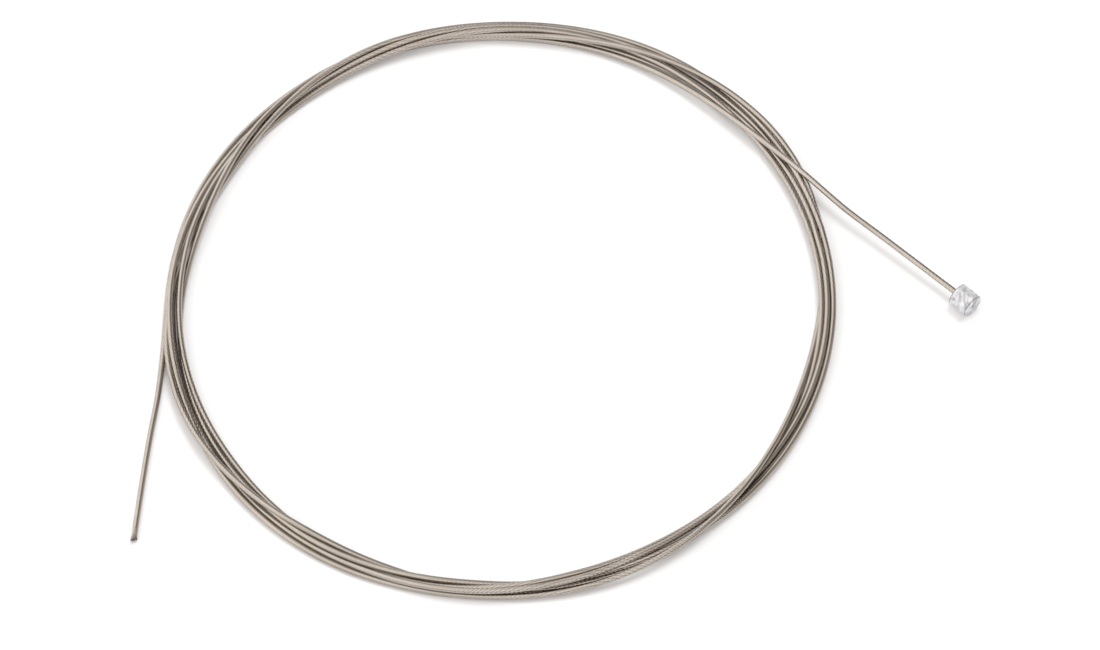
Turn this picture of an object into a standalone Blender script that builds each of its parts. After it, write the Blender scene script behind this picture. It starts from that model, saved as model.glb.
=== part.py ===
"""A bicycle gear cable, as it comes off the shelf: a stainless strand with a cast barrel nipple at one end.

The cable is wound into a loose flat coil and lies on a table. Its head runs out of the coil to the
nipple, and its cut tail runs out on the other side. Metres, +Z up. The origin lies on the table, under
the middle of the whole piece.
"""

import math

import bpy
from mathutils import Matrix, Vector

MM = 0.001

# The strand
CABLE_DIAMETER = 1.1 * MM
CLEARANCE = 0.3 * MM  # between solids that touch on the real cable
POINT_SPACING = 2.5 * MM  # along a run that isn't coiled
CURVE_STEPS = 16  # between two chosen points of a run, before its points are spaced evenly

# The coil: turns on the table, and turns in the hollows between them
COIL_RADIUS = 59.4 * MM
LANE_GAP = 0.15 * MM
LOWER_LANES = 4
UPPER_LANES = 2
LANE_FACETS = (-62, -24, 24, 62)  # degrees either side of a lane's crown
GROOVE_FLOOR = 0.45  # height left at the bottom of a groove, as a share of the strand's radius
COIL_SEGMENTS = 72
MERGE_DISTANCE = 0.01 * MM  # closes a turned outline on itself
SMOOTH_BELOW = math.radians(40)  # faces that meet at less than this are shaded as one surface

# The barrel nipple, along its own axis from the cable's side to the nose
NIPPLE_DIAMETER = 4.4 * MM
NIPPLE_LENGTH = 4.0 * MM
NOSE_ROUNDING = 0.3 * MM
SEAT_ROUNDING = 0.15 * MM
MOUTH_DEPTH = 0.6 * MM
DIMPLE_DIAMETER = 1.3 * MM
DIMPLE_FLOOR_DIAMETER = 0.6 * MM
DIMPLE_DEPTH = 0.25 * MM
NIPPLE_SEGMENTS = 48
ROUNDING_STEPS = 4
NIPPLE_HEADING = math.radians(-46)

# The head run, from where it leaves the coil to the nipple's mouth: plan distances from its first point
HEAD_LEAVES_AT = math.radians(25.5)
HEAD_RUN = [
    (0.0, 0.0),
    (4.2 * MM, -4.1 * MM),
    (8.4 * MM, -8.2 * MM),
    (12.6 * MM, -12.1 * MM),
    (16.8 * MM, -16.0 * MM),
    (21.0 * MM, -19.8 * MM),
    (25.2 * MM, -23.7 * MM),
    (27.4 * MM, -25.8 * MM),
]

# The tail run, from where it leaves the coil to the cut end: plan distances from its first point
TAIL_LEAVES_AT = math.radians(194)
TAIL_RUN = [
    (0.0, 0.0),
    (-0.9 * MM, -5.2 * MM),
    (-1.6 * MM, -10.8 * MM),
    (-2.3 * MM, -16.8 * MM),
    (-2.9 * MM, -22.8 * MM),
    (-3.4 * MM, -28.4 * MM),
    (-3.9 * MM, -33.8 * MM),
]


def clear_scene():
    for item in list(bpy.data.objects):
        bpy.data.objects.remove(item, do_unlink=True)


def metal(name, colour, roughness):
    material = bpy.data.materials.new(name)
    material.use_nodes = True
    shader = material.node_tree.nodes["Principled BSDF"]
    shader.inputs["Base Color"].default_value = (*colour, 1.0)
    shader.inputs["Metallic"].default_value = 1.0
    shader.inputs["Roughness"].default_value = roughness
    return material


def add_object(name, data, material):
    item = bpy.data.objects.new(name, data)
    bpy.context.collection.objects.link(item)
    data.materials.append(material)
    return item


def turned(name, outline, segments, material, closed):
    """A solid turned about its own Z axis. The outline (radius, height) runs down its outer side."""
    count = len(outline)
    edges = [(i, i + 1) for i in range(count - 1)]
    if closed:
        edges.append((count - 1, 0))
    mesh = bpy.data.meshes.new(name)
    mesh.from_pydata([(radius, 0.0, height) for radius, height in outline], edges, [])
    item = add_object(name, mesh, material)
    screw = item.modifiers.new("turn", "SCREW")
    screw.angle = 2 * math.pi
    screw.steps = segments
    screw.render_steps = segments
    screw.use_merge_vertices = True
    screw.merge_threshold = MERGE_DISTANCE
    graph = bpy.context.evaluated_depsgraph_get()
    solid = bpy.data.meshes.new_from_object(item.evaluated_get(graph))
    solid.shade_smooth()
    solid.set_sharp_from_angle(angle=SMOOTH_BELOW)
    item.modifiers.clear()
    item.data = solid
    return item


def rounded_corner(centre_radius, centre_height, rounding, first, last):
    """Points of a quarter round in the (radius, height) plane, from one angle in degrees to another."""
    points = []
    for step in range(ROUNDING_STEPS + 1):
        angle = math.radians(first + (last - first) * step / ROUNDING_STEPS)
        radius = centre_radius + rounding * math.cos(angle)
        points.append((radius, centre_height + rounding * math.sin(angle)))
    return points


def nipple_outline():
    """Half section, from the dimple in the nose down the barrel's side to the cable's mouth."""
    barrel = NIPPLE_DIAMETER / 2
    mouth = CABLE_DIAMETER / 2 + CLEARANCE
    outline = [
        (0.0, NIPPLE_LENGTH - DIMPLE_DEPTH),
        (DIMPLE_FLOOR_DIAMETER / 2, NIPPLE_LENGTH - DIMPLE_DEPTH),
        (DIMPLE_DIAMETER / 2, NIPPLE_LENGTH),
    ]
    outline += rounded_corner(barrel - NOSE_ROUNDING, NIPPLE_LENGTH - NOSE_ROUNDING, NOSE_ROUNDING, 90, 0)
    outline += rounded_corner(barrel - SEAT_ROUNDING, SEAT_ROUNDING, SEAT_ROUNDING, 0, -90)
    outline += [(mouth, 0.0), (mouth, MOUTH_DEPTH), (0.0, MOUTH_DEPTH)]
    return outline


def lane_centres():
    """Section of the coil: (distance from its mean radius, height) of each strand that lies in it."""
    strand = CABLE_DIAMETER / 2
    pitch = CABLE_DIAMETER + LANE_GAP
    first = -(LOWER_LANES - 1) / 2 * pitch
    lower = [(first + i * pitch, strand) for i in range(LOWER_LANES)]
    rise = math.sqrt(CABLE_DIAMETER**2 - (pitch / 2) ** 2)
    upper = [(first + (i + 1 / 2) * pitch, strand + rise) for i in range(UPPER_LANES)]
    return lower, upper


def lane_height(offset, lane):
    """How far a lane's surface stands above its centre at this distance from the coil's mean radius."""
    strand = CABLE_DIAMETER / 2
    aside = min(abs(offset - lane[0]), strand)
    return math.sqrt(strand**2 - aside**2)


def coil_outline():
    """Outline of the bundle: a ridge for each strand, and grooves that don't cut it through."""
    strand = CABLE_DIAMETER / 2
    web = GROOVE_FLOOR * strand
    lower, upper = lane_centres()
    edge = lower[-1][0] + strand
    places = {-edge, edge}
    for lane in lower + upper:
        places |= {lane[0] + strand * math.sin(math.radians(angle)) for angle in LANE_FACETS}
    top = []
    bottom = []
    for offset in sorted(places):
        flank = abs(offset) > lower[-1][0]
        near = [lane_height(offset, lane) for lane in lower]
        half = max(near) if flank else max(max(near), web)
        above = [lane[1] + lane_height(offset, lane) for lane in upper if abs(offset - lane[0]) < strand]
        top.append((COIL_RADIUS + offset, max([strand + half] + above)))
        if half == max(near):
            bottom.append((COIL_RADIUS + offset, strand - half))
    return top + bottom[-2:0:-1]


def smooth_curve(points, spacing):
    """Points at an even spacing along a smooth curve through the given ones."""
    ends = [2 * points[0] - points[1]] + points + [2 * points[-1] - points[-2]]
    fine = []
    for before, start, stop, after in zip(ends, ends[1:], ends[2:], ends[3:]):
        for step in range(CURVE_STEPS):
            t = step / CURVE_STEPS
            bend = (2 * before - 5 * start + 4 * stop - after) * t**2
            bend += (3 * (start - stop) + after - before) * t**3
            fine.append((2 * start + (stop - before) * t + bend) / 2)
    fine.append(points[-1])
    lengths = [0.0]
    for start, stop in zip(fine, fine[1:]):
        lengths.append(lengths[-1] + (stop - start).length)
    count = max(2, round(lengths[-1] / spacing))
    even = []
    place = 0
    for step in range(count + 1):
        wanted = lengths[-1] * step / count
        while place < len(fine) - 2 and lengths[place + 1] < wanted:
            place += 1
        share = (wanted - lengths[place]) / (lengths[place + 1] - lengths[place])
        even.append(fine[place].lerp(fine[place + 1], share))
    return even


def strand_run(name, points, material):
    """A plain round length of the strand along the given points."""
    curve = bpy.data.curves.new(name, "CURVE")
    curve.dimensions = "3D"
    curve.bevel_depth = CABLE_DIAMETER / 2
    curve.bevel_resolution = 2
    curve.use_fill_caps = True
    spline = curve.splines.new("POLY")
    spline.points.add(len(points) - 1)
    for slot, point in zip(spline.points, points):
        slot.co = (*point, 1.0)
    return add_object(name, curve, material)


def place_round_coil(angle, outward, height):
    """A point beside the coil: an angle about its axis, a distance past its outer edge and a height."""
    lower, _ = lane_centres()
    radius = COIL_RADIUS + lower[-1][0] + CABLE_DIAMETER / 2 + outward
    return Vector((radius * math.cos(angle), radius * math.sin(angle), height))


def head_points():
    """The head lies on the coil's outermost lane, then runs level with the nipple's axis."""
    strand = CABLE_DIAMETER / 2
    on_lane = CABLE_DIAMETER + CLEARANCE + strand
    start = place_round_coil(HEAD_LEAVES_AT, 0.0, on_lane)
    drop = NIPPLE_DIAMETER / 2 - on_lane
    last = len(HEAD_RUN) - 1
    points = []
    for index, (across, along) in enumerate(HEAD_RUN):
        share = min(1.0, index / (last - 1))
        points.append(start + Vector((across, along, drop * share)))
    return points


def tail_points():
    """The tail lies on the table beside the coil and runs straight on from it."""
    strand = CABLE_DIAMETER / 2
    start = place_round_coil(TAIL_LEAVES_AT, CLEARANCE + strand, strand)
    return [start + Vector((across, along, 0.0)) for across, along in TAIL_RUN]


def build_nipple(mouth_end, material):
    """The barrel lies on its side with its mouth round the head's last point."""
    nipple = turned("barrel_nipple", nipple_outline(), NIPPLE_SEGMENTS, material, closed=False)
    heading = Vector((math.cos(NIPPLE_HEADING), math.sin(NIPPLE_HEADING), 0.0))
    seat = Vector((mouth_end.x, mouth_end.y, NIPPLE_DIAMETER / 2)) - (MOUTH_DEPTH - CLEARANCE) * heading
    nipple.location = seat
    nipple.rotation_euler = heading.to_track_quat("Z", "Y").to_euler()
    return nipple


def surface_points(item):
    graph = bpy.context.evaluated_depsgraph_get()
    evaluated = item.evaluated_get(graph)
    mesh = evaluated.to_mesh()
    points = [evaluated.matrix_world @ vertex.co for vertex in mesh.vertices]
    evaluated.to_mesh_clear()
    return points


def stand_over_origin(items):
    """Hang every piece on one empty, moved so that the whole piece is centred over the origin."""
    bpy.context.view_layer.update()
    points = [point for item in items for point in surface_points(item)]
    middle = [(min(p[axis] for p in points) + max(p[axis] for p in points)) / 2 for axis in (0, 1)]
    holder = bpy.data.objects.new("gear_cable", None)
    bpy.context.collection.objects.link(holder)
    for item in items:
        item.parent = holder
        item.matrix_parent_inverse = Matrix.Identity(4)
    holder.location = (-middle[0], -middle[1], 0.0)


def main():
    clear_scene()
    stainless = metal("stainless strand", (0.62, 0.57, 0.51), 0.28)
    zinc = metal("cast zinc", (0.66, 0.68, 0.68), 0.45)
    head = head_points()
    coil = turned("wound_turns", coil_outline(), COIL_SEGMENTS, stainless, closed=True)
    head_run = strand_run("head_run", smooth_curve(head, POINT_SPACING), stainless)
    tail_run = strand_run("cut_tail", smooth_curve(tail_points(), POINT_SPACING), stainless)
    nipple = build_nipple(head[-1], zinc)
    stand_over_origin([coil, head_run, tail_run, nipple])


main()
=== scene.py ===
"""A bicycle gear cable in a loose coil on a pale table: strand, cut end and cast barrel nipple.

Metres, +Z up. The coil lies flat on the table, the head runs out of it to the right and ends in the
nipple, and the tail runs out of it on the left and ends in a bare cut.
"""

import logging
import math
from dataclasses import dataclass, field
from enum import IntEnum
from typing import Sequence

import bpy
import numpy as np
from mathutils import Matrix, Vector, noise


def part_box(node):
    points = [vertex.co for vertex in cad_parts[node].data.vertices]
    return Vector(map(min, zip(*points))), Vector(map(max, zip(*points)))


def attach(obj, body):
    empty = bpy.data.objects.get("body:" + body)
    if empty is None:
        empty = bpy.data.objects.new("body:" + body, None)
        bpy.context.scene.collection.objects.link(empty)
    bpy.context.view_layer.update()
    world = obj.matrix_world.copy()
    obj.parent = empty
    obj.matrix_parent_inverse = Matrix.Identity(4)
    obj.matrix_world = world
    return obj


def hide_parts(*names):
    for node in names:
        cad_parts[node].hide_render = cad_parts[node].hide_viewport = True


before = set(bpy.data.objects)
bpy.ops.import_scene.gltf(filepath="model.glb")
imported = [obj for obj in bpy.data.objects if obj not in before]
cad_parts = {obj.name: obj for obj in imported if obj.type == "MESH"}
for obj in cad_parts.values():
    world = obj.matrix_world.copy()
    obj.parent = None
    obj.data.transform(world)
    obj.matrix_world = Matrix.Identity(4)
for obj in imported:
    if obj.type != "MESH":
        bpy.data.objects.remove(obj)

MM = 0.001
FULL_TURN = 360
SHARP_EDGE = math.radians(50)
NOISE_SPAN = (0.3, 0.7)
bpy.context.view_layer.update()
STRAND_DIAMETER = 1.1 * MM
LOG = logging.getLogger("gear_cable")


class Layer(IntEnum):
    """How high a turn lies in the bundle where it passes the others."""

    LOW = 0
    MID = 1
    TOP = 2
    OVER = 3


LOW, MID, TOP, OVER = Layer

# Where each turn lies in the bundle, counted from the head: degrees round the coil from its right side,
# millimetres outward from the mean radius, and the layer
TURNS = (
    (
        (13, 9.4, OVER), (16, 7.1, OVER), (19, 5.1, OVER), (22, 3.5, OVER), (25, 2.3, OVER),
        (27, 1.6, OVER), (30, 0.7, OVER), (32, 0.1, OVER), (34.5, -0.5, OVER), (37, -0.95, OVER),
        (39.5, -1.25, OVER), (42, -1.5, OVER), (47, -1.7, TOP), (52, -1.65, MID), (60, -1.2, LOW),
        (90, -0.8, LOW), (100, -0.5, LOW), (130, 0.4, LOW), (145, 0.0, MID), (150, -0.2, MID),
        (160, 0.4, MID), (180, 0.8, MID), (208, 1.5, LOW), (220, 1.85, LOW), (240, 1.75, LOW),
        (255, 1.0, LOW), (262, 0.6, LOW), (270, 0.6, LOW), (278, 1.3, LOW), (285, 1.8, MID),
        (290, 1.75, TOP), (295, 1.4, TOP), (300, 0.9, OVER), (305, 0.5, OVER),
        (311, 0.1, OVER), (315, -0.5, OVER), (322, -1.2, OVER), (326, -1.4, OVER), (330, -1.9, TOP),
        (340, -2.4, LOW), (350, -2.0, LOW), (360, -1.2, LOW),
    ),
    (
        (5, -0.3, LOW), (20, 1.7, LOW), (25, 2.5, MID), (40, 2.8, MID), (45, 2.3, TOP),
        (50, 2.2, TOP), (55, 1.6, TOP), (75, -0.8, TOP), (90, -1.5, TOP), (95, -1.3, LOW),
        (105, -0.5, LOW), (120, 1.1, LOW), (135, 0.2, TOP), (140, -0.1, TOP), (150, -1.6, MID),
        (158, -2.8, MID), (165, -3.1, MID), (170, -2.6, MID), (176, -1.4, LOW), (218, -0.2, MID),
        (232, 0.3, MID), (245, 0.2, MID), (255, -0.4, MID), (265, -0.2, MID), (270, -0.6, MID),
        (278, -1.2, LOW), (285, -0.2, MID), (295, -0.1, MID), (312, 0.2, LOW), (320, 0.4, MID),
        (350, 0.9, MID), (360, 1.2, MID),
    ),
    (
        (20, 1.1, MID), (30, 1.6, MID), (47, 2.3, LOW), (52, 2.9, LOW), (60, 3.15, LOW),
        (75, 2.7, MID), (85, 1.5, MID), (90, 1.0, LOW), (100, 0.8, LOW), (105, 0.9, LOW),
        (110, 0.5, MID), (120, 0.4, TOP), (145, -2.3, TOP), (154, -2.8, MID), (172, -0.2, LOW),
        (180, 0.9, LOW), (186, 1.8, LOW), (200, 2.3, TOP), (215, 1.6, TOP), (220, 0.9, TOP),
        (225, 0.5, TOP), (235, -0.6, TOP), (240, -1.0, MID), (245, -1.0, MID), (250, -0.6, MID),
        (258, -0.8, LOW), (270, -0.1, LOW), (320, -0.5, LOW), (350, 0.4, LOW),
    ),
    (
        (30, 1.1, LOW), (50, 1.5, LOW), (60, 2.0, MID), (70, 1.8, MID), (90, 0.6, TOP),
        (95, 0.2, TOP), (100, -0.5, TOP), (110, -0.6, TOP), (130, -1.0, MID), (140, -1.2, LOW),
        (145, -0.8, LOW), (160, -0.8, MID), (180, -0.9, MID), (200, -0.8, LOW), (235, -0.9, LOW),
        (245, -0.9, LOW), (258, -0.1, MID), (270, -0.5, MID), (280, -1.4, MID), (290, -1.9, MID),
        (300, -2.2, MID), (310, -2.0, MID), (315, -1.9, LOW), (330, -1.7, LOW), (350, -1.1, LOW),
    ),
    (
        (30, -0.9, LOW), (50, -0.6, LOW), (66, 0.5, LOW), (72, 0.7, MID), (80, -0.1, TOP),
        (90, -0.9, TOP), (95, -1.5, TOP), (100, -1.3, TOP), (110, -1.1, MID), (120, -1.7, MID),
        (138, -1.9, LOW), (150, -1.2, LOW), (165, 0.2, LOW), (175, 0.2, LOW), (225, 0.7, LOW),
        (240, 0.7, MID), (250, 1.1, MID), (260, 0.9, TOP), (270, 0.6, TOP), (280, 0.0, TOP),
        (285, 0.1, TOP), (290, 0.0, MID), (300, -1.4, LOW), (330, -0.6, LOW), (360, 0.0, LOW),
    ),
    (
        (30, 0.4, LOW), (41, 0.6, LOW), (50, 0.3, LOW), (65, -0.4, LOW), (70, -0.7, LOW),
        (80, -0.5, LOW), (130, 0.9, LOW), (137, 0.9, LOW), (150, 1.5, LOW), (160, 1.75, LOW),
        (170, 1.7, LOW), (180, 1.4, LOW), (185, 1.5, LOW), (188, 1.75, LOW), (190, 2.1, LOW),
        (192, 2.65, LOW), (194, 3.4, LOW), (196, 4.35, LOW), (198, 5.4, LOW), (201, 7.15, LOW),
        (204, 9.2, LOW),
    ),
)

# The head run, from the coil to the nipple's mouth: plan distances from the coil's centre
HEAD_HEIGHT = 2.2 * MM
HEAD_RUN = (
    (60.45 * MM, 21.4 * MM),
    (65.1 * MM, 17.05 * MM),
    (69.4 * MM, 13.25 * MM),
    (73.3 * MM, 9.75 * MM),
    (76.8 * MM, 6.6 * MM),
    (80.2 * MM, 3.55 * MM),
    (83.2 * MM, 0.8 * MM),
)

# The tail run, from the coil to the cut: plan distances from the coil's centre
TAIL_RUN = (
    (-61.35 * MM, -17.9 * MM),
    (-62.0 * MM, -22.6 * MM),
    (-62.65 * MM, -27.7 * MM),
    (-63.2 * MM, -32.8 * MM),
    (-63.7 * MM, -37.9 * MM),
    (-64.2 * MM, -43.4 * MM),
    (-64.7 * MM, -49.0 * MM),
)


class NodeTree:
    """A short way to write a shader's nodes and the links between them."""

    def __init__(self, tree: bpy.types.NodeTree) -> None:
        """Empties the tree.

        Args:
            tree: The node tree of a material or the world.
        """
        self.tree = tree
        self.tree.nodes.clear()

    def add(self, kind: str, **settings: object) -> bpy.types.Node:
        """Adds a node.

        Args:
            kind: The node's type name.
            **settings: Its attributes, such as an operation.

        Returns:
            The new node.
        """
        node = self.tree.nodes.new(kind)
        for name, value in settings.items():
            setattr(node, name, value)
        return node

    def link(self, source: bpy.types.NodeSocket, target: bpy.types.NodeSocket) -> None:
        """Joins an output to an input."""
        self.tree.links.new(source, target)

    def feed(self, target: bpy.types.NodeSocket, value: object) -> None:
        """Sets an input.

        Args:
            target: The input.
            value: Another node's output, or a plain value.
        """
        if isinstance(value, bpy.types.NodeSocket):
            self.link(value, target)
        else:
            target.default_value = value

    def object_place(
        self, scale: Sequence[float] = (1, 1, 1), turn: Sequence[float] = (0, 0, 0)
    ) -> bpy.types.NodeSocket:
        """Gives object coordinates.

        Args:
            scale: Stretch along each axis.
            turn: Rotation about each axis, in radians.

        Returns:
            The vector output.
        """
        mapping = self.add("ShaderNodeMapping")
        mapping.inputs["Rotation"].default_value = turn
        mapping.inputs["Scale"].default_value = scale
        self.link(self.add("ShaderNodeTexCoord").outputs["Object"], mapping.inputs["Vector"])
        return mapping.outputs["Vector"]

    def noise(
        self, place: object, scale: float, detail: float = 2.0, roughness: float = 0.5
    ) -> bpy.types.NodeSocket:
        """Adds a cloudy pattern.

        Args:
            place: The vector that it lies in.
            scale: Features a metre.
            detail: Octaves.
            roughness: How strong the finer octaves are.

        Returns:
            The value output, about 0 to 1.
        """
        node = self.add("ShaderNodeTexNoise")
        node.inputs["Scale"].default_value = scale
        node.inputs["Detail"].default_value = detail
        node.inputs["Roughness"].default_value = roughness
        self.feed(node.inputs["Vector"], place)
        return node.outputs["Fac"]

    def spread(
        self, value: object, low: float, high: float, to_low: float, to_high: float
    ) -> bpy.types.NodeSocket:
        """Maps a range of values to another, clamped.

        Args:
            value: The output to map.
            low: Where the range starts.
            high: Where it ends.
            to_low: What the start becomes.
            to_high: What the end becomes.

        Returns:
            The mapped value output.
        """
        node = self.add("ShaderNodeMapRange", clamp=True)
        self.feed(node.inputs["Value"], value)
        node.inputs["From Min"].default_value = low
        node.inputs["From Max"].default_value = high
        node.inputs["To Min"].default_value = to_low
        node.inputs["To Max"].default_value = to_high
        return node.outputs["Result"]

    def math(self, operation: str, first: object, second: object = 0.0) -> bpy.types.NodeSocket:
        """Works out a value from two others.

        Args:
            operation: What is done with them.
            first: The first value.
            second: The second value.

        Returns:
            The value output.
        """
        node = self.add("ShaderNodeMath", operation=operation)
        self.feed(node.inputs[0], first)
        self.feed(node.inputs[1], second)
        return node.outputs["Value"]

    def blend(self, share: object, first: object, second: object) -> bpy.types.NodeSocket:
        """Mixes two colours.

        Args:
            share: How much of the second colour is in the mix, from 0 to 1.
            first: The first colour.
            second: The second colour.

        Returns:
            The mixed colour's output.
        """
        node = self.add("ShaderNodeMix", data_type="RGBA")
        self.feed(node.inputs["Factor"], share)
        self.feed(node.inputs["A"], first)
        self.feed(node.inputs["B"], second)
        return node.outputs["Result"]

    def bump(
        self, height: bpy.types.NodeSocket, strength: float, distance: float
    ) -> bpy.types.NodeSocket:
        """Makes a height into a bumped normal.

        Args:
            height: The height's output.
            strength: How strong the bump is.
            distance: How far a height of 1 stands out, in metres.

        Returns:
            The normal output.
        """
        node = self.add("ShaderNodeBump")
        node.inputs["Strength"].default_value = strength
        node.inputs["Distance"].default_value = distance
        self.link(height, node.inputs["Height"])
        return node.outputs["Normal"]


def new_material(name: str) -> tuple[bpy.types.Material, NodeTree]:
    """Makes an empty node material.

    Args:
        name: Its name.

    Returns:
        The material and its node tree.
    """
    material = bpy.data.materials.new(name)
    material.use_nodes = True
    return material, NodeTree(material.node_tree)


Colour = tuple[float, float, float, float]


@dataclass(frozen=True)
class DrawnStainless:
    """Bright drawn wires, warm in tone, with painted shade darkening the grooves between them."""

    name: str = "drawn_stainless"
    crest: Colour = (0.76, 0.70, 0.64, 1.0)
    wear_and_groove_shade: Colour = (0.65, 0.59, 0.53, 1.0)
    # The near-black colour of the painted shade in the grooves between the wires
    groove: Colour = (0.07, 0.058, 0.048, 1.0)
    roughness: tuple[float, float] = (0.10, 0.16)
    drift_scale: float = 60.0
    drift_edges: tuple[float, float] = (0.35, 0.65)
    speckle_scale: float = 2600.0
    speckle_edges: tuple[float, float] = (0.5, 0.8)
    speckle_share: float = 0.35
    groove_shade_edge: float = 0.75
    groove_shade_share: float = 0.95
    bump_strength: float = 0.1
    bump_height: float = 0.01 * MM

    def material(self) -> bpy.types.Material:
        """Writes the shader.

        Returns:
            The new material.
        """
        material, nodes = new_material(self.name)
        shader = nodes.add("ShaderNodeBsdfPrincipled")
        output = nodes.add("ShaderNodeOutputMaterial")
        place = nodes.object_place()
        drift = nodes.noise(place, self.drift_scale, detail=3)
        speckle = nodes.noise(place, self.speckle_scale, detail=2)
        groove = nodes.add("ShaderNodeAttribute", attribute_name="groove").outputs["Fac"]
        drifted = nodes.spread(drift, *self.drift_edges, 0.0, 1.0)
        steel = nodes.blend(drifted, self.crest, self.wear_and_groove_shade)
        speckled = nodes.spread(speckle, *self.speckle_edges, 0.0, self.speckle_share)
        steel = nodes.blend(speckled, steel, self.wear_and_groove_shade)
        # Painted shade: the grooves between the wires are darkened nearly to black
        sunk = nodes.spread(groove, 0.0, self.groove_shade_edge, 0.0, self.groove_shade_share)
        nodes.link(nodes.blend(sunk, steel, self.groove), shader.inputs["Base Color"])
        nodes.link(nodes.spread(speckle, *NOISE_SPAN, *self.roughness), shader.inputs["Roughness"])
        shader.inputs["Metallic"].default_value = 1.0
        bumped = nodes.bump(speckle, self.bump_strength, self.bump_height)
        nodes.link(bumped, shader.inputs["Normal"])
        nodes.link(shader.outputs["BSDF"], output.inputs["Surface"])
        return material


@dataclass(frozen=True)
class CutSteel:
    """Wire at the cut: bright as the strand, then dark and dull where the cutter squeezed it."""

    name: str = "cut_steel"
    bright: Colour = (0.66, 0.60, 0.545, 1.0)
    dull: Colour = (0.11, 0.095, 0.08, 1.0)
    scale: float = 1400.0
    squeeze_edges: tuple[float, float] = (0.3, 0.6)
    least_squeeze: float = 0.6
    roughness: tuple[float, float] = (0.16, 0.55)
    bump_strength: float = 0.4
    bump_height: float = 0.03 * MM

    def material(self) -> bpy.types.Material:
        """Writes the shader.

        Returns:
            The new material.
        """
        material, nodes = new_material(self.name)
        shader = nodes.add("ShaderNodeBsdfPrincipled")
        output = nodes.add("ShaderNodeOutputMaterial")
        cloud = nodes.noise(nodes.object_place(), self.scale, detail=3)
        tip = nodes.add("ShaderNodeAttribute", attribute_name="tip").outputs["Fac"]
        patches = nodes.spread(cloud, *self.squeeze_edges, self.least_squeeze, 1.0)
        squeezed = nodes.math("MULTIPLY", tip, patches)
        nodes.link(nodes.blend(squeezed, self.bright, self.dull), shader.inputs["Base Color"])
        nodes.link(nodes.spread(squeezed, 0.0, 1.0, *self.roughness), shader.inputs["Roughness"])
        shader.inputs["Metallic"].default_value = 1.0
        bumped = nodes.bump(cloud, self.bump_strength, self.bump_height)
        nodes.link(bumped, shader.inputs["Normal"])
        nodes.link(shader.outputs["BSDF"], output.inputs["Surface"])
        return material


@dataclass(frozen=True)
class CastZinc:
    """Cool grey zinc as cast: mottled, with flow streaks and small bright facets, and with painted dark
    reflection on its rims and painted shade in its nose's pit.
    """

    name: str = "cast_zinc"
    pale: Colour = (0.86, 0.86, 0.89, 1.0)
    middle: Colour = (0.56, 0.565, 0.59, 1.0)
    dark: Colour = (0.27, 0.275, 0.29, 1.0)
    rim_and_pit_shade: Colour = (0.16, 0.16, 0.17, 1.0)
    roughness: tuple[float, float] = (0.34, 0.55)
    metallic: float = 0.5
    fine_share: float = 0.6
    mottle_scale: float = 1100.0
    mottle_edges: tuple[float, float] = (0.35, 0.62)
    streak_scale: float = 800.0
    streak_edges: tuple[float, float] = (0.52, 0.72)
    streak_share: float = 0.8
    streak_stretch: tuple[float, float, float] = (1.0, 0.25, 0.6)
    streak_turn: tuple[float, float, float] = (0.4, 0.0, math.radians(40))
    rim_shade_edges: tuple[float, float] = (0.3, 0.6)
    least_rim_shade: float = 0.55
    bump_strength: float = 0.5
    bump_height: float = 0.04 * MM

    def material(self) -> bpy.types.Material:
        """Writes the shader.

        Returns:
            The new material.
        """
        material, nodes = new_material(self.name)
        shader = nodes.add("ShaderNodeBsdfPrincipled")
        output = nodes.add("ShaderNodeOutputMaterial")
        place = nodes.object_place()
        mottle = nodes.noise(place, self.mottle_scale, detail=4, roughness=self.fine_share)
        streaked = nodes.object_place(scale=self.streak_stretch, turn=self.streak_turn)
        streak = nodes.noise(streaked, self.streak_scale, detail=3, roughness=self.fine_share)
        mottled = nodes.spread(mottle, *self.mottle_edges, 0.0, 1.0)
        colour = nodes.blend(mottled, self.pale, self.middle)
        streaks = nodes.spread(streak, *self.streak_edges, 0.0, self.streak_share)
        colour = nodes.blend(streaks, colour, self.dark)
        # Painted dark reflection on the two rims and painted shade in the nose's pit, broken up by the
        # mottle
        rim = nodes.add("ShaderNodeAttribute", attribute_name="rim").outputs["Fac"]
        patches = nodes.spread(mottle, *self.rim_shade_edges, self.least_rim_shade, 1.0)
        colour = nodes.blend(nodes.math("MULTIPLY", rim, patches), colour, self.rim_and_pit_shade)
        nodes.link(colour, shader.inputs["Base Color"])
        nodes.link(nodes.spread(mottle, *NOISE_SPAN, *self.roughness), shader.inputs["Roughness"])
        shader.inputs["Metallic"].default_value = self.metallic
        bumped = nodes.bump(mottle, self.bump_strength, self.bump_height)
        nodes.link(bumped, shader.inputs["Normal"])
        nodes.link(shader.outputs["BSDF"], output.inputs["Surface"])
        return material


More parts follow.
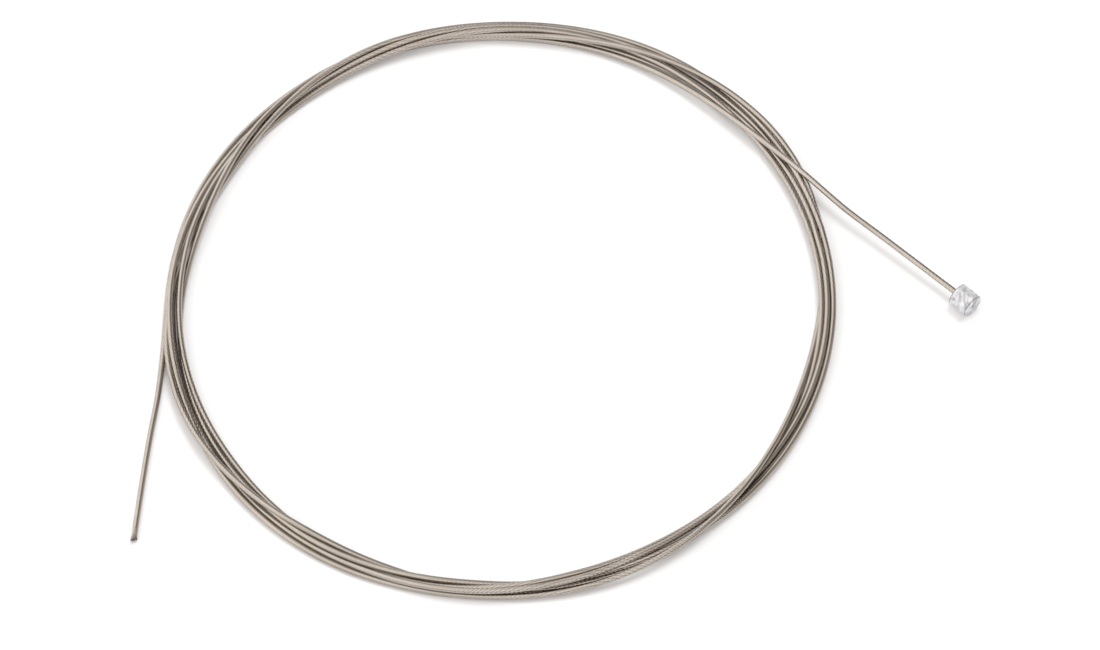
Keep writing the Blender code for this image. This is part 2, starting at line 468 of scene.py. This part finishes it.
@dataclass(frozen=True)
class WhiteTable:
    """Matt white surface: the camera and the metal see it as plain white, with the shadows kept."""

    name: str = "white_table"
    paper: Colour = (0.86, 0.86, 0.87, 1.0)
    paper_shade: Colour = (0.85, 0.85, 0.86, 1.0)
    grain_scale: float = 300.0
    glow: float = 1.0
    glow_share: float = 0.1

    def material(self) -> bpy.types.Material:
        """Writes the shader.

        Returns:
            The new material.
        """
        material, nodes = new_material(self.name)
        output = nodes.add("ShaderNodeOutputMaterial")
        grain = nodes.noise(nodes.object_place(), self.grain_scale, detail=3)
        matt = nodes.add("ShaderNodeBsdfDiffuse")
        nodes.link(nodes.blend(grain, self.paper, self.paper_shade), matt.inputs["Color"])
        glow = nodes.add("ShaderNodeEmission")
        glow.inputs["Strength"].default_value = self.glow
        path = nodes.add("ShaderNodeLightPath")
        seen = nodes.math("MAXIMUM", path.outputs["Is Camera Ray"], path.outputs["Is Glossy Ray"])
        seen = nodes.math("MAXIMUM", seen, path.outputs["Is Transmission Ray"])
        mix = nodes.add("ShaderNodeMixShader")
        nodes.link(nodes.math("MULTIPLY", seen, self.glow_share), mix.inputs["Fac"])
        nodes.link(matt.outputs["BSDF"], mix.inputs[1])
        nodes.link(glow.outputs["Emission"], mix.inputs[2])
        nodes.link(mix.outputs["Shader"], output.inputs["Surface"])
        return material


def new_piece(
    name: str,
    points: Sequence[Sequence[float]],
    faces: Sequence[Sequence[int]],
    material: bpy.types.Material,
    sharp_above: float,
) -> bpy.types.Object:
    """Makes a smooth-shaded mesh object that rides on the part.

    Args:
        name: The piece's name.
        points: Its corners, in metres.
        faces: Its faces.
        material: Its finish.
        sharp_above: The angle between faces, in radians, above which their edge stays sharp.

    Returns:
        The new object.
    """
    mesh = bpy.data.meshes.new(name)
    mesh.from_pydata([tuple(point) for point in points], [], [tuple(face) for face in faces])
    mesh.shade_smooth()
    mesh.set_sharp_from_angle(angle=sharp_above)
    mesh.materials.append(material)
    piece = bpy.data.objects.new(name, mesh)
    bpy.context.collection.objects.link(piece)
    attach(piece, "root")
    return piece


def tube_walls(rings: int, around: int, base: int = 0) -> list[list[int]]:
    """Joins rings of points by four-sided faces.

    Args:
        rings: How many rings there are.
        around: How many points each has.
        base: The number of the first ring's first point.

    Returns:
        The faces, ring by ring.
    """
    faces = []
    for ring in range(rings - 1):
        for step in range(around):
            here = base + ring * around + step
            beside = base + ring * around + (step + 1) % around
            faces.append([here, beside, beside + around, here + around])
    return faces


def smooth_through(places: np.ndarray, values: np.ndarray, wanted: np.ndarray) -> np.ndarray:
    """Reads a smooth curve through given values.

    Args:
        places: Where the values are given, rising.
        values: One value, or one row of values, for each place.
        wanted: Where the curve is read.

    Returns:
        The curve's values there.
    """
    slope = np.gradient(values, places, axis=0)
    at = np.clip(np.searchsorted(places, wanted) - 1, 0, len(places) - 2)
    span = places[at + 1] - places[at]
    t = (wanted - places[at]) / span
    if values.ndim > 1:
        span = span[:, None]
        t = t[:, None]
    start = (2 * t**3 - 3 * t**2 + 1) * values[at] + (t**3 - 2 * t**2 + t) * span * slope[at]
    stop = (3 * t**2 - 2 * t**3) * values[at + 1] + (t**3 - t**2) * span * slope[at + 1]
    return start + stop


@dataclass
class CoilLay:
    """The turns of the coil, each laid beside or on the others a strand's diameter apart."""

    radius: float = 59.4 * MM
    step: int = 2
    first: int = 16
    last: int = 200
    spare: int = 3
    held: int = 6
    head_lift: float = 2.85 * MM
    rounds: int = 700
    settling_share: float = 0.8
    late_freedom: float = 0.1
    pull: float = 0.1
    fall: float = 0.008 * MM
    stiffness: float = 0.7
    bend_reach: tuple[int, ...] = (1, 2, 3, 4, 6)
    ease: float = 2.2
    layer_rise: float = 0.85
    least_distance: float = 0.001 * MM

    def angles(self) -> np.ndarray:
        """Gives the degrees of every point, from the head's end on through all the turns."""
        last = FULL_TURN * (len(TURNS) - 1) + self.last
        return np.arange(self.first, last + 1, self.step)

    def stations(self) -> np.ndarray:
        """Gives every station, in the order of the turns.

        Returns:
            A row for each: degrees from the first turn on, outward distance and layer.
        """
        rows = [
            (angle + FULL_TURN * turn, outward * MM, float(layer))
            for turn, stations in enumerate(TURNS)
            for angle, outward, layer in stations
        ]
        return np.array(rows)

    def keep_apart(self, outward: np.ndarray, height: np.ndarray) -> None:
        """Pushes turns that lie closer than a diameter apart, in place.

        Args:
            outward: Each point's distance from the mean radius.
            height: Each point's height.
        """
        points_a_turn = FULL_TURN // self.step
        for turns in range(1, len(TURNS)):
            inner = slice(0, max(0, len(outward) - turns * points_a_turn))
            outer = slice(turns * points_a_turn, None)
            across = outward[outer] - outward[inner]
            up = height[outer] - height[inner]
            distance = np.maximum(np.hypot(across, up), self.least_distance)
            push = np.maximum(STRAND_DIAMETER - distance, 0.0) / 2 / distance
            outward[outer] += push * across
            height[outer] += push * up
            outward[inner] -= push * across
            height[inner] -= push * up

    def eased(self, line: np.ndarray) -> np.ndarray:
        """Rounds off a line's quick changes, which a springy strand can't follow.

        Args:
            line: One value for each point.

        Returns:
            The rounded values.
        """
        reach = math.ceil(3 * self.ease)
        weight = np.exp(-0.5 * (np.arange(-reach, reach + 1) / self.ease) ** 2)
        before = 2 * line[0] - line[reach:0:-1]
        after = 2 * line[-1] - line[-2:-reach - 2:-1]
        return np.convolve(np.concatenate([before, line, after]), weight / weight.sum(), "valid")

    def straighten(self, line: np.ndarray, share: float) -> None:
        """Lets the strand's stiffness take bends out of a line, in place.

        Args:
            line: One value for each point.
            share: How much of each bend goes.
        """
        for reach in self.bend_reach:
            ends = line[:-4 * reach] + line[4 * reach:]
            shoulders = line[reach:-3 * reach] + line[3 * reach:-reach]
            bend = ends - 4 * shoulders + 6 * line[2 * reach:-2 * reach]
            line[2 * reach:-2 * reach] -= share / 16 * bend

    def settled(self) -> tuple[np.ndarray, np.ndarray]:
        """Lets the turns settle on the table and on each other.

        Returns:
            Each point's distance outward from the mean radius, and its height.
        """
        stations = self.stations()
        angles = self.angles()
        target = self.eased(smooth_through(stations[:, 0], stations[:, 1], angles))
        layer = self.eased(np.interp(angles, stations[:, 0], stations[:, 2]))
        outward = target.copy()
        height = STRAND_DIAMETER * (0.5 + self.layer_rise * layer)
        for done in range(self.rounds):
            free = 1.0 if done < self.settling_share * self.rounds else self.late_freedom
            height -= self.fall * free
            outward += (target - outward) * self.pull * free
            self.straighten(outward, self.stiffness * free)
            self.straighten(height, self.stiffness * free)
            self.keep_apart(outward, height)
            np.maximum(height, STRAND_DIAMETER / 2, out=height)
            height[:self.held] = self.head_lift
        return outward, height

    def points(self, centre: Vector) -> list[Vector]:
        """Gives the centreline through all the turns.

        Args:
            centre: The coil's centre on the table.

        Returns:
            Its points, from the head's side to the tail's.
        """
        outward, height = self.settled()
        points = []
        for angle, out, up in zip(np.radians(self.angles()), outward, height):
            reach = self.radius + out
            points.append(centre + Vector((reach * math.cos(angle), reach * math.sin(angle), up)))
        return points[self.spare:-self.spare]


@dataclass
class Strand:
    """One length of nineteen wires laid in a strand, from the nipple through the coil to the cut."""

    coil: CoilLay = field(default_factory=CoilLay)
    finish: DrawnStainless = field(default_factory=DrawnStainless)
    diameter: float = STRAND_DIAMETER
    length: float = 2100 * MM
    outer_wires: int = 12
    wire_diameter: float = 0.22 * MM
    lay_length: float = 9.5 * MM
    groove_depth: float = 0.08 * MM
    crest_reach: float = math.radians(7.5)
    crest_lean: float = math.radians(17)
    cut_stretch: float = 1.5 * MM
    join_reach: float = 5 * MM
    join_rounds: int = 60

    def head_points(self, centre: Vector, height: float) -> list[Vector]:
        """Gives the head run's points.

        Args:
            centre: The coil's centre on the table.
            height: The strand's height where it comes off the coil.

        Returns:
            Its points, from the coil to the nipple's mouth.
        """
        points = []
        for index, (across, along) in enumerate(HEAD_RUN):
            share = min(1.0, (index + 1) / (len(HEAD_RUN) - 1))
            points.append(centre + Vector((across, along, height + (HEAD_HEIGHT - height) * share)))
        return points

    def tail_points(self, centre: Vector) -> list[Vector]:
        """Gives the tail run's points, from the coil to the cut."""
        return [centre + Vector((across, along, self.diameter / 2)) for across, along in TAIL_RUN]

    def ring_spacing(self) -> float:
        """Gives the distance between rings of mesh points, one wire's turn of the lay."""
        return self.lay_length / self.outer_wires

    def route(self, centre: Vector) -> np.ndarray:
        """Gives the whole centreline at an even spacing.

        Args:
            centre: The coil's centre on the table.

        Returns:
            Its points, from the nipple to the cut.
        """
        turns = self.coil.points(centre)
        head = self.head_points(centre, turns[0].z)
        chosen = head[::-1] + turns + self.tail_points(centre)
        chosen = np.array([tuple(point) for point in chosen])
        lengths = np.concatenate([[0.0], np.cumsum(np.linalg.norm(np.diff(chosen, axis=0), axis=1))])
        count = int(lengths[-1] / self.ring_spacing())
        even = np.linspace(0.0, lengths[-1], count + 1)
        route = smooth_through(lengths, chosen, even)
        for join in (len(head), len(head) + len(turns) - 1):
            near = np.exp(-0.5 * ((even[1:-1] - lengths[join]) / self.join_reach) ** 2)[:, None]
            for _ in range(self.join_rounds):
                route[1:-1] += near / 2 * ((route[:-2] + route[2:]) / 2 - route[1:-1])
        route[:, 2] = np.maximum(route[:, 2], self.diameter / 2)
        return route

    def frames(self, route: np.ndarray) -> tuple[np.ndarray, np.ndarray, np.ndarray]:
        """Carries a pair of cross directions along the route without twist.

        Args:
            route: The centreline's points.

        Returns:
            Its directions, and two directions across it, at every point.
        """
        along = np.gradient(route, axis=0)
        along /= np.linalg.norm(along, axis=1)[:, None]
        side = np.zeros_like(route)
        side[0] = np.cross((0.0, 0.0, 1.0), along[0])
        for index in range(1, len(route)):
            carried = side[index - 1] - along[index] * np.dot(side[index - 1], along[index])
            side[index] = carried / np.linalg.norm(carried)
        side[0] /= np.linalg.norm(side[0])
        return along, side, np.cross(along, side)

    def section(self) -> tuple[np.ndarray, np.ndarray, np.ndarray, np.ndarray]:
        """Gives the strand's outline: drawn smooth outside, with a groove between each two wires.

        Returns:
            Each point's angle, its radius, the angle that its surface faces, and 1 in a groove.
        """
        outer = self.diameter / 2
        angles = []
        radii = []
        facing = []
        grooves = []
        for index in range(self.outer_wires):
            middle = 2 * math.pi * index / self.outer_wires
            groove = middle - math.pi / self.outer_wires
            angles += [groove, middle - self.crest_reach, middle + self.crest_reach]
            radii += [outer - self.groove_depth, outer, outer]
            facing += [groove, middle - self.crest_lean, middle + self.crest_lean]
            grooves += [1.0, 0.0, 0.0]
        return np.array(angles), np.array(radii), np.array(facing), np.array(grooves)

    def build(self, centre: Vector) -> tuple[bpy.types.Object, np.ndarray]:
        """Makes the strand as far as the cut wires.

        Args:
            centre: The coil's centre on the table.

        Returns:
            The strand, and its whole centreline.
        """
        route = self.route(centre)
        _, side, up = self.frames(route)
        stop = len(route) - round(self.cut_stretch / self.ring_spacing())
        angle, radius, facing, groove = self.section()
        rings = len(route[:stop])
        twist = 2 * math.pi / self.outer_wires * np.arange(rings)[:, None]
        side = side[:stop, None, :]
        up = up[:stop, None, :]
        points = route[:stop, None, :] + (radius * np.cos(angle + twist))[..., None] * side
        points = points + (radius * np.sin(angle + twist))[..., None] * up
        normals = np.cos(facing + twist)[..., None] * side + np.sin(facing + twist)[..., None] * up
        count = len(angle)
        faces = tube_walls(rings, count)
        faces += [list(range(count))[::-1], list(range((rings - 1) * count, rings * count))]
        piece = new_piece("strand", points.reshape(-1, 3), faces, self.finish.material(), math.pi)
        piece.data.normals_split_custom_set_from_vertices(normals.reshape(-1, 3).tolist())
        # The groove mask, where the strand's material paints shade between the wires
        wear_and_groove_shade = piece.data.attributes.new("groove", "FLOAT", "POINT")
        wear_and_groove_shade.data.foreach_set("value", np.tile(groove, rings))
        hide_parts("head_run", "wound_turns", "cut_tail")
        return piece, route


@dataclass
class CutEnd:
    """The nineteen wires where the strand was cut: each ends by itself, a little spread."""

    strand: Strand
    finish: CutSteel = field(default_factory=CutSteel)
    inner_wires: int = 6
    sides: int = 10
    rings: int = 9
    sunk: float = 0.8 * MM
    slant: float = 0.35 * MM
    ragged: float = 0.28 * MM
    slant_turn: float = 2.2
    spread: float = 0.14
    even_spread: float = 0.6
    chance_step: float = 7.3
    chance_row: tuple[float, float] = (1.7, 0.4)
    tip_fade: float = 3.5

    def wires(self) -> list[tuple[float, float]]:
        """Gives the wires' places in the strand.

        Returns:
            Each wire's distance from the strand's centre, and its angle about it.
        """
        lay = self.strand.diameter / 2 - self.strand.wire_diameter / 2
        places = [(0.0, 0.0)]
        places += [(lay / 2, 2 * math.pi * i / self.inner_wires) for i in range(self.inner_wires)]
        outer = self.strand.outer_wires
        places += [(lay, 2 * math.pi * i / outer) for i in range(outer)]
        return places

    def build(self, route: np.ndarray) -> bpy.types.Object:
        """Makes the wires from inside the strand's last ring to their own ends.

        Args:
            route: The strand's whole centreline.

        Returns:
            The piece that holds them all.
        """
        along, side, up = self.strand.frames(route)
        spacing = self.strand.ring_spacing()
        stretch = round(self.strand.cut_stretch / spacing) * spacing
        last = len(route) - 1
        points: list[Vector] = []
        faces: list[list[int]] = []
        for number, (reach, angle) in enumerate(self.wires()):
            chance = noise.noise(Vector((self.chance_step * number, *self.chance_row)))
            lean = math.cos(angle + self.slant_turn)
            end = stretch + self.slant * lean * reach / self.strand.diameter * 2 + self.ragged * chance
            rows = []
            for ring in range(self.rings):
                share = ring / (self.rings - 1)
                place = -self.sunk + (end + self.sunk) * share
                index = last - round(stretch / spacing) + place / spacing
                low = int(min(max(math.floor(index), 0), last))
                centre = Vector(route[low]) + Vector(along[low]) * (index - low) * spacing
                turn = angle + 2 * math.pi / self.strand.outer_wires * index
                loose = max(0.0, place / stretch)
                out = reach * (1 + self.spread * loose**2 * (self.even_spread + chance))
                across = Vector(side[low]) * math.cos(turn) + Vector(up[low]) * math.sin(turn)
                rows.append((centre + across * out, Vector(side[low]), Vector(up[low])))
            base = len(points)
            for centre, right, above in rows:
                for step in range(self.sides):
                    around = 2 * math.pi * step / self.sides
                    lie = right * math.cos(around) + above * math.sin(around)
                    points.append(centre + lie * self.strand.wire_diameter / 2)
            faces += tube_walls(self.rings, self.sides, base)
            top = base + (self.rings - 1) * self.sides
            faces += [list(range(base, base + self.sides))[::-1], list(range(top, top + self.sides))]
        piece = new_piece("cut_wires", points, faces, self.finish.material(), SHARP_EDGE)
        along_wire = np.linspace(0.0, 1.0, self.rings) ** self.tip_fade
        tip = piece.data.attributes.new("tip", "FLOAT", "POINT")
        tip.data.foreach_set("value", np.tile(np.repeat(along_wire, self.sides), len(self.wires())))
        return piece


@dataclass
class BarrelNipple:
    """The cast barrel on the strand's head: flat ends, small roundings and a dimple in its nose."""

    finish: CastZinc = field(default_factory=CastZinc)
    diameter: float = 4.4 * MM
    length: float = 4.0 * MM
    nose_rounding: float = 0.3 * MM
    seat_rounding: float = 0.15 * MM
    dimple_diameter: float = 1.3 * MM
    dimple_depth: float = 0.25 * MM
    collar_length: float = 0.35 * MM
    collar_diameter: float = 1.7 * MM
    collar_inside: float = 0.9
    collar_lip: float = 1.06
    collar_waist: float = 0.45
    strand_inside: float = 0.3 * MM
    heading: float = math.radians(-46)
    segments: int = 128
    face_steps: int = 10
    side_steps: int = 26
    corner_steps: int = 6
    unevenness: float = 0.018 * MM
    flow_reach: float = 3.0
    # Where the painted dark reflection on the rims and the painted shade in the pit lie
    rim_width: float = 0.14 * MM
    rim_strength: float = 1.4
    pit_reach: float = 0.42 * MM
    pit_share: float = 0.8

    def ahead(self) -> Vector:
        """Gives the direction from the seat to the nose."""
        return Vector((math.cos(self.heading), math.sin(self.heading), 0.0))

    def rim(self, radius: float, height: float) -> float:
        """Tells how much painted dark reflection and shade a place on the outline takes: the two rims and
        the nose's pit.

        Args:
            radius: The place's distance from the barrel's axis.
            height: Its distance from the seat.

        Returns:
            A share from 0 to 1.
        """
        seat = math.hypot(radius - self.diameter / 2, height - self.seat_rounding / 2)
        nose = math.hypot(radius - self.diameter / 2, height - (self.length - self.nose_rounding / 2))
        share = max(0.0, 1.0 - min(seat, nose) / self.rim_width)
        if height > self.length - self.nose_rounding and radius < self.pit_reach:
            share = self.pit_share
        return min(1.0, self.rim_strength * share)

    def corner(
        self, rounding: float, height: float, first: float, last: float
    ) -> list[tuple[float, float]]:
        """Gives a rounded corner of the outline.

        Args:
            rounding: Its radius.
            height: How far its centre is from the seat.
            first: The angle at which it starts, in degrees.
            last: The angle at which it ends.

        Returns:
            Its points, each as a distance from the barrel's axis and one from the seat.
        """
        centre = self.diameter / 2 - rounding
        points = []
        for step in range(self.corner_steps + 1):
            angle = math.radians(first + (last - first) * step / self.corner_steps)
            points.append((centre + rounding * math.cos(angle), height + rounding * math.sin(angle)))
        return points

    def outline(self) -> list[tuple[float, float]]:
        """Gives the half section, from the collar round the barrel to the middle of the dimple.

        Returns:
            Its points, each as a distance from the barrel's axis and one from the seat.
        """
        strand = STRAND_DIAMETER / 2
        collar = self.collar_diameter / 2
        points = [(strand * self.collar_inside, -self.collar_length)]
        points.append((strand * self.collar_lip, -self.collar_length))
        waist = strand + (collar - strand) * self.collar_waist
        points += [(waist, -self.collar_length * self.collar_waist), (collar, 0.0)]
        edge = self.diameter / 2 - self.seat_rounding
        for step in range(1, self.face_steps):
            points.append((collar + (edge - collar) * step / self.face_steps, 0.0))
        points += self.corner(self.seat_rounding, self.seat_rounding, -90, 0)
        low = self.seat_rounding
        high = self.length - self.nose_rounding
        for step in range(1, self.side_steps):
            points.append((self.diameter / 2, low + (high - low) * step / self.side_steps))
        points += self.corner(self.nose_rounding, high, 0, 90)
        edge = self.diameter / 2 - self.nose_rounding
        dimple = self.dimple_diameter / 2
        for step in range(1, self.face_steps + 1):
            points.append((edge + (dimple - edge) * step / self.face_steps, self.length))
        for step in range(1, self.corner_steps + 1):
            share = step / self.corner_steps
            depth = self.dimple_depth * math.sin(share * math.pi / 2)
            points.append((dimple * (1 - share), self.length - depth))
        return points

    def build(self, seat: Vector) -> bpy.types.Object:
        """Makes the barrel where the part has it.

        Args:
            seat: The centre of the end that the strand leaves.

        Returns:
            The barrel, with its collar of flash on the strand.
        """
        outline = self.outline()
        turn = self.ahead().to_track_quat("Z", "Y").to_matrix().to_4x4()
        place = Matrix.Translation(seat) @ turn
        points = []
        for radius, height in outline[:-1]:
            for step in range(self.segments):
                angle = 2 * math.pi * step / self.segments
                across = self.flow_reach * math.cos(angle)
                along = self.flow_reach * math.sin(angle)
                flow = noise.noise(Vector((across, along, height / MM)))
                fade = min(1.0, radius / (self.diameter / 2))
                uneven = radius + self.unevenness * flow * fade
                points.append(place @ Vector((uneven * math.cos(angle), uneven * math.sin(angle), height)))
        faces = tube_walls(len(outline) - 1, self.segments)
        faces.append(list(range(self.segments))[::-1])
        points.append(place @ Vector((0.0, 0.0, outline[-1][1])))
        top = (len(outline) - 2) * self.segments
        for step in range(self.segments):
            faces.append([top + step, top + (step + 1) % self.segments, len(points) - 1])
        piece = new_piece("nipple", points, faces, self.finish.material(), SHARP_EDGE)
        # Each ring's share of the painted rim reflection and pit shade
        rim_shade_shares = [self.rim(radius, height) for radius, height in outline]
        rim = piece.data.attributes.new("rim", "FLOAT", "POINT")
        rim.data.foreach_set("value", np.append(np.repeat(rim_shade_shares[:-1], self.segments), rim_shade_shares[-1]))
        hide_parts("barrel_nipple")
        return piece


@dataclass(frozen=True)
class LightPanel:
    """A soft round panel of light in the room: its direction, how far it reaches, its colour."""

    towards: tuple[float, float, float]
    reach: float
    edge: float
    colour: Colour


@dataclass
class Studio:
    """The table, the lamp, the room round them and the camera."""

    elevation: float = math.radians(59.105)
    distance: float = 860 * MM
    lens: float = 154.85
    sensor: float = 36.0
    clip_end: float = 20.0
    aim_from_coil: tuple[float, float] = (8.909 * MM, -4.411 * MM)
    table_size: float = 6.0
    lamp_from: tuple[float, float, float] = (0.36, 0.46, 1.18)
    lamp_width: float = math.radians(30)
    lamp_strength: float = 1.55
    lamp_colour: tuple[float, float, float] = (0.95, 0.99, 1.0)
    room_dark: Colour = (0.27, 0.25, 0.23, 1.0)
    panels: tuple[LightPanel, ...] = (
        LightPanel(towards=(0.95, 0.10, 0.10), reach=44, edge=24, colour=(0.62, 0.58, 0.54, 1.0)),
        LightPanel(towards=(0.0, -0.57, 0.82), reach=50, edge=18, colour=(1.15, 1.11, 1.08, 1.0)),
        LightPanel(towards=(-0.88, 0.30, 0.42), reach=72, edge=24, colour=(1.38, 1.34, 1.30, 1.0)),
    )

    def add_camera(self, centre: Vector) -> None:
        """Sets up the camera, looking along +Y and down at the coil.

        Args:
            centre: The coil's centre on the table.
        """
        data = bpy.data.cameras.new("camera")
        data.lens = self.lens
        data.sensor_width = self.sensor
        data.clip_end = self.clip_end
        camera = bpy.data.objects.new("camera", data)
        bpy.context.collection.objects.link(camera)
        aim = centre + Vector((*self.aim_from_coil, 0.0))
        back = Vector((0.0, -math.cos(self.elevation), math.sin(self.elevation)))
        camera.location = aim + self.distance * back
        camera.rotation_euler = (math.pi / 2 - self.elevation, 0.0, 0.0)
        bpy.context.scene.camera = camera

    def add_table(self) -> None:
        """Lays a wide white table under the cable."""
        half = self.table_size / 2
        mesh = bpy.data.meshes.new("table")
        corners = [(-half, -half, 0.0), (half, -half, 0.0), (half, half, 0.0), (-half, half, 0.0)]
        mesh.from_pydata(corners, [], [(0, 1, 2, 3)])
        mesh.materials.append(WhiteTable().material())
        table = bpy.data.objects.new("table", mesh)
        bpy.context.collection.objects.link(table)

    def add_lamp(self) -> None:
        """Sets a wide, far lamp behind and to the right, which throws soft shadows to the lower left."""
        data = bpy.data.lights.new("lamp", "SUN")
        data.angle = self.lamp_width
        data.energy = self.lamp_strength
        data.color = self.lamp_colour
        lamp = bpy.data.objects.new("lamp", data)
        bpy.context.collection.objects.link(lamp)
        lamp.location = self.lamp_from
        lamp.rotation_euler = (-Vector(self.lamp_from)).to_track_quat("-Z", "Y").to_euler()
        lamp.visible_glossy = False

    def add_room(self) -> None:
        """Surrounds the scene with a dim room and its soft light panels."""
        world = bpy.data.worlds.new("room")
        bpy.context.scene.world = world
        world.use_nodes = True
        nodes = NodeTree(world.node_tree)
        way = nodes.add("ShaderNodeTexCoord").outputs["Generated"]
        colour: object = self.room_dark
        for panel in self.panels:
            facing = nodes.add("ShaderNodeVectorMath", operation="DOT_PRODUCT")
            nodes.link(way, facing.inputs[0])
            facing.inputs[1].default_value = Vector(panel.towards).normalized()
            rim = math.cos(math.radians(panel.reach))
            full = math.cos(math.radians(panel.reach - panel.edge))
            share = nodes.spread(facing.outputs["Value"], rim, full, 0.0, 1.0)
            colour = nodes.blend(share, colour, panel.colour)
        seen = nodes.add("ShaderNodeLightPath").outputs["Is Camera Ray"]
        room = nodes.add("ShaderNodeBackground")
        nodes.link(colour, room.inputs["Color"])
        backdrop = nodes.add("ShaderNodeBackground")
        mix = nodes.add("ShaderNodeMixShader")
        nodes.link(seen, mix.inputs["Fac"])
        nodes.link(room.outputs["Background"], mix.inputs[1])
        nodes.link(backdrop.outputs["Background"], mix.inputs[2])
        output = nodes.add("ShaderNodeOutputWorld")
        nodes.link(mix.outputs["Shader"], output.inputs["Surface"])

    def build(self, centre: Vector) -> None:
        """Sets up everything round the cable.

        Args:
            centre: The coil's centre on the table.
        """
        self.add_camera(centre)
        self.add_table()
        self.add_lamp()
        self.add_room()
        bpy.context.scene.view_settings.view_transform = "Standard"


def coil_centre() -> Vector:
    """Gives the point on the table under the middle of the part's wound turns."""
    low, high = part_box("wound_turns")
    return Vector(((low[0] + high[0]) / 2, (low[1] + high[1]) / 2, 0.0))


def main() -> None:
    """Builds the camera, the cable and the nipple, and reports each piece."""
    logging.basicConfig(level=logging.INFO, format="%(name)s: %(message)s")
    centre = coil_centre()
    Studio().build(centre)
    LOG.info("studio: camera, table, lamp and room")
    strand = Strand()
    cable, route = strand.build(centre)
    LOG.info("strand: %d rings, %d faces", len(route), len(cable.data.polygons))
    cut_wires = CutEnd(strand).build(route)
    LOG.info("cut_wires: %d faces", len(cut_wires.data.polygons))
    barrel = BarrelNipple()
    seat = Vector(route[0]) - barrel.strand_inside * barrel.ahead()
    nipple = barrel.build(seat)
    LOG.info("nipple: %d faces", len(nipple.data.polygons))


if __name__ == "__main__":
    main()
